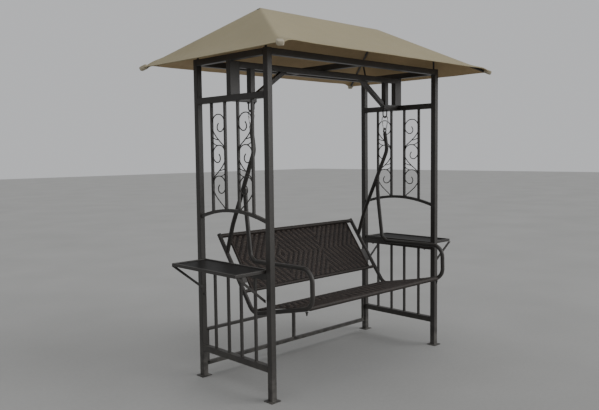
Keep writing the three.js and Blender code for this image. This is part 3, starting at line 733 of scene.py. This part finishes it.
for side, sx in sides.items():
    x = sx * hangX
    node = f"u_bolt_{side}"
    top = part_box(node)[1].z
    half = hang["boltHalf"]
    centre = Vector((x, 0, hang["boltLow"] + half))
    turns = [math.pi * k / 20 for k in range(21)]
    bend = [centre - half * Vector((math.cos(turn), 0, math.sin(turn))) for turn in turns]
    bm = bmesh.new()
    addPipe(bm, [Vector((x - half, 0, top)), *bend, Vector((x + half, 0, top))], hang["boltRod"])
    for s in (-1, 1):
        addRod(bm, (x + s * half, 0, top), (x + s * half, 0, top - hang["washerHigh"]), hang["washer"], 28)
        start = len(bm.verts)
        place = Matrix.Translation((x + s * half, 0, top - hang["nutLow"]))
        bmesh.ops.create_cone(bm, cap_ends=True, segments=6, radius1=hang["nut"] / 2,
                              radius2=hang["nut"] / 2, depth=hang["nutHigh"], matrix=place)
        bm.verts.ensure_lookup_table()
        soften(bm, {e for v in bm.verts[start:] for e in v.link_edges
                    if abs(e.verts[0].co.z - e.verts[1].co.z) < 1e-5}, 0.001, 2)
    standIn(bm, node, "dark_bolt", darkSteel)

    node = f"hanging_link_{side}"
    pear = [(0, linkTop), *pearHalf, (0, hang["linkBottom"]), *[(-y, z) for y, z in reversed(pearHalf)]]
    bm = bmesh.new()
    addPipe(bm, [(x, y, z) for y, z in pear], hang["linkRod"], ring=True, smoothLine=8)
    standIn(bm, node, "chrome_link", chrome, smooth=180)
print("hanging gear made")


seat = {
    "tube": 0.028, "backTop": (0.354, 0.914), "bend": (0.012, 0.434), "front": (-0.494, 0.547),
    "armTop": (0.0, 1.585), "armKnee": (-0.020, 1.462), "armLow": (0.205, 0.990), "armMeets": 0.757,
    "restFork": 0.496, "restPath": ((0.066, 1.080), (0.026, 0.772), (-0.515, 0.779)),
    "nosePast": 0.0256, "restMeets": 0.09,
    "eyeHole": 0.018, "eyeThick": 0.005, "eyeWide": 0.036, "eyeSoft": 0.001, "pressFrom": 0.012,
    "press": ((0.012, 1.0, 1.0), (0.005, 1.06, 0.72), (0.004, 1.14, 0.40), (0.003, 1.2, 0.22),
              (0.004, 1.2, 0.18)),    # rise, width and thickness of each step
    "sideBend": [0.085], "armBends": [0.110, 0.160], "restBends": [0.250, 0.062, 0.078, 0.080],
}
boltOutline = [(0, 0), (0.0085, 0), (0.009, 0.001), (0.009, 0.004), (0.006, 0.008), (0.005, 0.010),
               (0.005, 0.017), (0.0035, 0.021), (0.0015, 0.0237), (0, 0.024)]
capOutline = [(0, 0.0042), (0.006, 0.0038), (0.0105, 0.0024), (0.0138, 0.0006), (0.0146, -0.0014),
              (0.0146, -0.005), (0, -0.005)]


def between(a, b, share):
    return tuple(p + (q - p) * share for p, q in zip(a, b))


def onSeat(share, lift=0.0):
    y, z = between(seat["front"], seat["bend"], share)
    slope = math.atan2(seat["front"][1] - seat["bend"][1], seat["bend"][0] - seat["front"][0])
    return y + lift * math.sin(slope), z + lift * math.cos(slope)


def onBack(share, lift=0.0):
    y, z = between(seat["bend"], seat["backTop"], share)
    lean = math.atan2(seat["backTop"][1] - seat["bend"][1], seat["backTop"][0] - seat["bend"][0])
    return y - lift * math.sin(lean), z + lift * math.cos(lean)


seatLong = math.dist(seat["front"], seat["bend"])
backLong = math.dist(seat["bend"], seat["backTop"])
fork = between(seat["armKnee"], seat["armLow"], seat["restFork"])
nose = onSeat(-seat["nosePast"] / seatLong)
sideCorners = [seat["backTop"], seat["bend"], onSeat(seat["restMeets"])]
armCorners = [seat["armTop"], seat["armKnee"], seat["armLow"], onBack(seat["armMeets"])]
restCorners = [(fork[0] - seat["tube"] * 0.55, fork[1]), *seat["restPath"], nose, onSeat(seat["restMeets"])]

for side, sx in sides.items():
    x = sx * hangX
    for node, corners, bends, steps in ((f"side_tube_{side}", sideCorners, seat["sideBend"], 14),
                                        (f"arm_rest_{side}", restCorners, seat["restBends"], 12)):
        bm = bmesh.new()
        addPipe(bm, roundedPath(x, corners, bends, steps), seat["tube"], resolution=10)
        standIn(bm, node, smooth=50)

    node = f"hanger_arm_{side}"
    bm = bmesh.new()
    addPipe(bm, roundedPath(x, armCorners, seat["armBends"], 12), seat["tube"], resolution=10)
    eyeZ = hang["linkBottom"] + hang["linkRod"] / 2 + 0.0016 - seat["eyeHole"] / 2
    place = Matrix.Translation((x, 0, seat["armTop"][1] - seat["pressFrom"]))
    flat = bmesh.ops.create_circle(bm, cap_ends=True, segments=24, radius=seat["tube"] / 2,
                                   matrix=place)["verts"]
    face = flat[0].link_faces[0]
    last = (1.0, 1.0)
    for step, (rise, wide, thin) in enumerate(seat["press"]):    # the tube's end is pressed flat
        face = drawOut(bm, face, (0, 0, rise), step)
        bmesh.ops.scale(bm, verts=face.verts[:], vec=(wide / last[0], thin / last[1], 1),
                        space=Matrix.Translation((-x, 0, 0)))
        last = (wide, thin)
    r0, r1, t, c = seat["eyeHole"] / 2, seat["eyeWide"] / 2, seat["eyeThick"] / 2, seat["eyeSoft"]
    ringOutline = [(r0, c - t), (r0 + c, -t), (r1 - c, -t), (r1, c - t),
                   (r1, t - c), (r1 - c, t), (r0 + c, t), (r0, t - c), (r0, c - t)]
    addLathe(bm, (x, 0, eyeZ), (0, 1, 0), ringOutline, 36)
    standIn(bm, node, smooth=40)

    node = f"corner_bolt_{side}"
    low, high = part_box(node)
    middle = (low + high) / 2
    bm = bmesh.new()
    addLathe(bm, (middle.x, middle.y, high.z), (0, 0, -1), boltOutline)
    standIn(bm, node, "dark_bolt", darkSteel, smooth=40)

    bm = bmesh.new()    # rounded cap on the side tube's top end
    backWay = Vector((0, *seat["backTop"])) - Vector((0, *seat["bend"]))
    addLathe(bm, (x, *seat["backTop"]), backWay, capOutline)
    makePiece(bm, f"tubeCap{side.title()}", "seat", "dark_bolt", blackPlug, smooth=50)
print("seat sides made")


rails = {
    "edgeTube": 0.018, "slit": 0.047, "thin": 0.022, "rearLift": 0.016, "rearShare": 0.955, "backLow": 0.27,
    "bridgeUp": 0.455, "bridgeLong": 0.100, "bridgeThick": 0.006, "weaveLift": 0.006,
    "support": (0.016, 0.010), "supportAt": (-0.5, 0, 0.5),
}
frontShare = seat["tube"] / 2 / seatLong
topShare = 1 - seat["tube"] / 2 / backLong


def wrappedRail(bm, start, end, diameter):    # each turn of the strand swells a little
    start, end = Vector(start), Vector(end)
    turns = max(2, round((end - start).length / reedLook["turn"]))
    points, fat = [], []
    for k in range(turns):
        for part, swell in ((0.06, 0.95), (0.3, 1.03), (0.7, 1.03), (0.94, 0.95)):
            points.append(start.lerp(end, (k + part) / turns))
            fat.append(swell)
    addPipe(bm, points, diameter, fatness=fat, resolution=5)


def railOn(bm, spot, diameter, wrapTo, bareTo):
    y, z = spot
    addRod(bm, (-bareTo, y, z), (bareTo, y, z), diameter * 0.93, 24)
    wrappedRail(bm, (-wrapTo, y, z), (wrapTo, y, z), diameter)


bm = bmesh.new()
reach = hangX - seat["tube"] / 3
wrapReach = hangX - seat["tube"] / 2 - 0.004
railOn(bm, onSeat(frontShare), seat["tube"], wrapReach, reach)
railOn(bm, onSeat(rails["rearShare"], rails["rearLift"]), rails["thin"], wrapReach, reach)
makePiece(bm, "seatRails", "seat", "resin_reed", reedWrap, smooth=60)
bm = bmesh.new()
for f in rails["supportAt"]:
    a, b = onSeat(frontShare, -0.007), onSeat(rails["rearShare"], 0.007)
    addBar(bm, (f * hangX, *a), (f * hangX, *b), *rails["support"], soft=0.0015)
makePiece(bm, "seatFrame", "seat", "painted_frame", bronze, ["seat_frame"], level=True)

bm = bmesh.new()
railOn(bm, onBack(topShare), seat["tube"], wrapReach, reach)
railOn(bm, onBack(rails["backLow"]), rails["thin"], wrapReach, reach)
edgeX = hangX - seat["tube"] / 2 - rails["slit"] - rails["edgeTube"] / 2
for s in (-1, 1):
    wrappedRail(bm, (s * edgeX, *onBack(rails["backLow"])), (s * edgeX, *onBack(topShare)), rails["edgeTube"])
makePiece(bm, "backRails", "seat", "resin_reed", reedWrap, smooth=60)
bm = bmesh.new()
bridgeX = hangX - seat["tube"] / 2 - rails["slit"] / 2 - 0.002
for s in (-1, 1):
    a, b = (onBack(rails["bridgeUp"] + d * rails["bridgeLong"] / 2 / backLong) for d in (-1, 1))
    addBar(bm, (s * bridgeX, *a), (s * bridgeX, *b), rails["slit"] + rails["edgeTube"], rails["bridgeThick"],
           soft=0.002)
makePiece(bm, "backFrame", "seat", "painted_frame", bronze, ["back_frame"], level=True)


weave = {"column": 0.0082, "row": 0.0112, "fill": 0.93, "lift": 0.0011, "crown": 0.0005, "thick": 0.0010,
         "tuck": 0.75, "over": 3, "zoneWide": 0.383, "zoneHigh": 0.195, "raise": 0.002}


def fold(value, zone):    # runs up through one zone and back down through the next
    return abs(value % (2 * zone) - zone)


def wovenPanel(name, node, start, end, halfWide):
    start, end = Vector((0, *start)), Vector((0, *end))
    long = (end - start).length
    columns, rows = round(2 * halfWide / weave["column"]), round(long / weave["row"])
    pitchX, pitchY = 2 * halfWide / columns, long / rows
    zoneX, zoneY = round(weave["zoneWide"] / pitchX), round(weave["zoneHigh"] / pitchY)
    startX = (columns // 2 + zoneX // 2) % (2 * zoneX)

    def warpOver(i, j):
        run = fold(i - startX, zoneX) + fold(j, zoneY)
        return run % (2 * weave["over"]) < weave["over"]

    bm = bmesh.new()
    layer = bm.verts.layers.float_vector.new("strand")
    for count, other, pitch, otherPitch, warp in ((columns, rows, pitchX, pitchY, True),
                                                  (rows, columns, pitchY, pitchX, False)):
        for i in range(count):
            seed = jitter.random()
            centre = (i + 0.5) * pitch - count * pitch / 2
            span = (other - 1) * otherPitch
            width = pitch * weave["fill"]
            place = Matrix.Diagonal((span, width, 1, 1))
            made = bmesh.ops.create_grid(bm, x_segments=other - 1, y_segments=2, size=0.5,
                                         matrix=place)["verts"]
            for v in made:
                j = round((v.co.x + span / 2) / otherPitch)
                over = warpOver(i, j) if warp else not warpOver(j, i)
                along, across = v.co.x, v.co.y
                if j == 0 or j == other - 1:
                    along += math.copysign(otherPitch * weave["tuck"], along)
                high = weave["lift"] * (1 if over else -1) + weave["crown"] * (1 - abs(across) * 2 / width)
                v[layer] = (across, along, seed)
                v.co = (centre + across, along, high) if warp else (along, centre + across, high)
            for f in {f for v in made for f in v.link_faces}:
                f.material_index = 0 if warp else 1
    out = (end - start).normalized()
    normal = Vector((1, 0, 0)).cross(out)
    turn = Matrix((Vector((1, 0, 0)), out, normal)).transposed().to_4x4()
    place = Matrix.Translation((start + end) / 2 + normal * weave["raise"])
    bmesh.ops.transform(bm, matrix=place @ turn, verts=bm.verts)
    bmesh.ops.reverse_faces(bm, faces=[f for f in bm.faces if f.normal.dot(normal) < 0])
    panelPiece = makePiece(bm, name, bodyOf[node], "resin_reed", [reedWarpShaded, reedWeftLit], [node],
                           smooth=180, settle=False)
    thicken(panelPiece, weave["thick"], 0)


wovenPanel("seatWeave", "seat_weave", onSeat(frontShare + 0.015 / seatLong, rails["weaveLift"]),
           onSeat(rails["rearShare"] - 0.012 / seatLong, rails["rearLift"] + 0.004),
           hangX - seat["tube"] / 2 - 0.006)
wovenPanel("backWeave", "back_weave", onBack(rails["backLow"] + 0.012 / backLong),
           onBack(topShare - 0.015 / backLong),
           hangX - seat["tube"] / 2 - rails["slit"] - rails["edgeTube"] - 0.001)
print("seat and back woven")


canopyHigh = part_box("canopy")[1]
roof = {
    "hemDrop": 0.034, "ridgeIn": 0.445, "rafterDrop": 0.0104, "rafter": 0.015, "rafterFrom": 0.035,
    "rafterEnd": 0.958, "leg": 0.014, "legOut": 0.003, "legIn": 0.011, "poleShort": 0.015,
    "clothProud": 0.018,
}
hemX, hemY = canopyHigh.x + roof["clothProud"], canopyHigh.y
hemZ, ridgeX, ridgeZ = postTop - roof["hemDrop"], hemX - roof["ridgeIn"], canopyHigh.z
ridgeTop = Vector((ridgeX, 0, ridgeZ - roof["rafterDrop"]))
hemFoot = Vector((hemX, hemY, hemZ - roof["rafterDrop"]))

for end, sy in ends.items():
    for side, sx in sides.items():
        node = f"hip_rafter_{end}_{side}"
        flip = Matrix.Diagonal((sx, sy, 1))
        bm = bmesh.new()
        rafterTop, rafterFoot = (ridgeTop.lerp(hemFoot, roof[key]) for key in ("rafterFrom", "rafterEnd"))
        addRod(bm, flip @ rafterTop, flip @ rafterFoot, roof["rafter"], 24)
        legFoot = Vector((postX + roof["legOut"], postY - roof["legIn"], postTop + 0.0005))
        plan = (hemFoot - ridgeTop).xy
        share = (legFoot - ridgeTop).xy.dot(plan) / plan.length_squared
        addRod(bm, flip @ legFoot, flip @ ridgeTop.lerp(hemFoot, share), roof["leg"], 20)
        standIn(bm, node)

bm = bmesh.new()
poleZ = ridgeZ - roof["rafterDrop"]
poleEnd = ridgeX - roof["poleShort"]
addRod(bm, (-poleEnd, 0, poleZ), (poleEnd, 0, poleZ), roof["rafter"], 24)
for s in (-1, 1):    # plastic hub that takes the two hip rafters
    addBlock(bm, (s * ridgeX - 0.025 - 0.008 * s, -0.015, poleZ - 0.022),
             (s * ridgeX + 0.025 - 0.020 * s, 0.015, poleZ + 0.003), 0.005)
makePiece(bm, "ridgePole", "stand", "painted_frame", bronze, ["ridge_pole"])
print("roof frame made")


cloth = {"cuts": 71, "sag": 0.009, "hemLift": 0.022, "sideLift": 0.003, "corner": 0.080, "crease": 0.0012,
         "thick": 0.0018, "hemRows": 2, "hemThick": 0.0034}


def ease(value):
    value = max(0.0, min(1.0, value))
    return value * value * (3 - 2 * value)


def clothHeight(x, y):
    ax, ay = abs(x), abs(y)
    toFront, toSide = (hemY - ay) / hemY, (hemX - ax) / roof["ridgeIn"]
    up = max(0.0, min(toFront, toSide))
    onFront = toFront <= toSide
    hip = abs(toSide - toFront) * (roof["ridgeIn"] if onFront else hemY)
    slack = ease(hip / 0.32) * ease((1 - up) / 0.4) * (0.3 + 0.7 * ease(up / 0.3))
    fromCorner = (hemX - ax) if onFront else (hemY - ay)
    hemUp = ease(fromCorner / cloth["corner"]) * (1 - ease(up / 0.2))
    lift = (cloth["hemLift"] if onFront else cloth["sideLift"]) * hemUp
    crease = cloth["crease"] * noise.noise(Vector((x * 7, y * 7, 3.1))) * ease(hip / 0.1)
    return hemZ + (ridgeZ - hemZ) * up - cloth["sag"] * slack + lift + crease, up


def clothShell():
    bm = bmesh.new()
    rim = [bm.verts.new((x, y, 0)) for x, y in ((-hemX, -hemY), (hemX, -hemY), (hemX, hemY), (-hemX, hemY),
                                                (-ridgeX, 0), (ridgeX, 0))]
    for loop in ((0, 1, 5, 4), (1, 2, 5), (2, 3, 4, 5), (3, 0, 4)):    # two long slopes and two end slopes
        bm.faces.new([rim[k] for k in loop])
    bmesh.ops.subdivide_edges(bm, edges=bm.edges[:], cuts=cloth["cuts"], use_grid_fill=True)
    layer = bm.verts.layers.float.new("up")
    for v in bm.verts:
        v.co.z, v[layer] = clothHeight(v.co.x, v.co.y)
    uv = bm.loops.layers.uv.new("cloth")
    for f in bm.faces:
        middle = f.calc_center_median()
        turned = (hemX - abs(middle.x)) / roof["ridgeIn"] < min(1, (hemY - abs(middle.y)) / hemY)
        for loop in f.loops:
            p = loop.vert.co
            loop[uv].uv = (p.y, math.hypot(p.x, p.z)) if turned else (p.x, math.hypot(p.y, p.z))
    return bm


bm = clothShell()
canopy = makePiece(bm, "canopyCloth", "stand", "canopy_cloth", [clothTop, clothShadedUnderside], ["canopy"],
                   smooth=180)
thicken(canopy, cloth["thick"], -1).material_offset = 1    # the inner side takes a warmer copy of the canvas colour: painted shade and light shining through the cloth

bm = clothShell()
layer = bm.verts.layers.float["up"]
hemTop = (cloth["hemRows"] + 0.5) / (cloth["cuts"] + 1)
bmesh.ops.delete(bm, geom=[f for f in bm.faces if max(v[layer] for v in f.verts) > hemTop], context="FACES")
hem = makePiece(bm, "canopyHem", "stand", "canopy_cloth", clothTop, smooth=180)
thicken(hem, cloth["hemThick"], 0)

pocket = {"long": 0.056, "wide": 0.040, "high": 0.028, "down": 0.004, "past": 0.009}
pockets = []
for end, sy in ends.items():
    for side, sx in sides.items():
        corner = Vector((sx * hemX, sy * hemY, hemZ))
        hipWay = (Vector((sx * ridgeX, 0, ridgeZ)) - corner).normalized()
        across = hipWay.cross(Vector((0, 0, 1))).normalized()
        turn = Matrix((hipWay, across, hipWay.cross(across))).transposed().to_4x4()
        centre = corner + hipWay * (pocket["long"] / 2 - pocket["past"]) - Vector((0, 0, pocket["down"]))
        bm = bmesh.new()
        size = Matrix.Diagonal((pocket["long"], pocket["wide"], pocket["high"], 1))
        bmesh.ops.create_cube(bm, size=1, matrix=Matrix.Translation(centre) @ turn @ size)
        bmesh.ops.subdivide_edges(bm, edges=bm.edges[:], cuts=3, use_grid_fill=True)
        for factor in (0.5, 0.3):
            bmesh.ops.smooth_vert(bm, verts=bm.verts[:], factor=factor,
                                  use_axis_x=True, use_axis_y=True, use_axis_z=True)
        uv = bm.loops.layers.uv.new("cloth")
        for f in bm.faces:
            for loop in f.loops:
                loop[uv].uv = (loop.vert.co.x, loop.vert.co.z + loop.vert.co.y)
        name = f"canopyPocket{end.title()}{side.title()}"
        pockets.append(makePiece(bm, name, "stand", "canopy_cloth", clothTrim, smooth=180))
        softer = pockets[-1].modifiers.new("soft", "SUBSURF")
        softer.levels = softer.render_levels = 1


studio = {
    "floor": ((0.45, 0.45, 0.44, 1), (0.40, 0.40, 0.39, 1)),
    "world": (0.80, 0.81, 0.83, 1), "seenStrength": 0.72, "litStrength": 0.34,
    "key": ((3.4, -5.0, 2.4), 45, 1.30),     # where it comes from, how wide it spreads, its strength
    "top": ((-0.2, -0.6, 5.0), 110, 1.05),
}
bm = bmesh.new()
bmesh.ops.create_grid(bm, x_segments=8, y_segments=8, size=40)
mesh = bpy.data.meshes.new("floor")
bm.to_mesh(mesh)
bm.free()
floor = bpy.data.objects.new("floor", mesh)
bpy.context.scene.collection.objects.link(floor)
material, tree, shader = newMaterial("paleFloor", {"Roughness": 0.8})
cloud = placeGroup(tree, "clouds", {"Light": studio["floor"][0], "Dark": studio["floor"][1],
                                    "Size": 0.9, "Mottle": 40.0})
tree.links.new(cloud.outputs[0], shader.inputs["Base Color"])
mesh.materials.append(material)

world = bpy.data.worlds.new("studio")
bpy.context.scene.world = world
world.use_nodes = True
background = next(node for node in world.node_tree.nodes if node.type == "BACKGROUND")
background.inputs[0].default_value = studio["world"]
seen = addNode(world.node_tree, "ShaderNodeLightPath").outputs["Is Camera Ray"]    # the backdrop stays pale
glow = clampedRange(world.node_tree, seen, 0.0, 1.0, studio["litStrength"], studio["seenStrength"])
world.node_tree.links.new(glow, background.inputs[1])
for name in ("key", "top"):
    source, spread, strength = studio[name]
    light = bpy.data.lights.new(name, "SUN")
    light.angle = math.radians(spread)
    light.energy = strength
    lamp = bpy.data.objects.new(name, light)
    bpy.context.scene.collection.objects.link(lamp)
    lamp.rotation_euler = (-Vector(source)).to_track_quat("-Z", "Y").to_euler()
print("floor and light set")

bpy.context.view_layer.update()
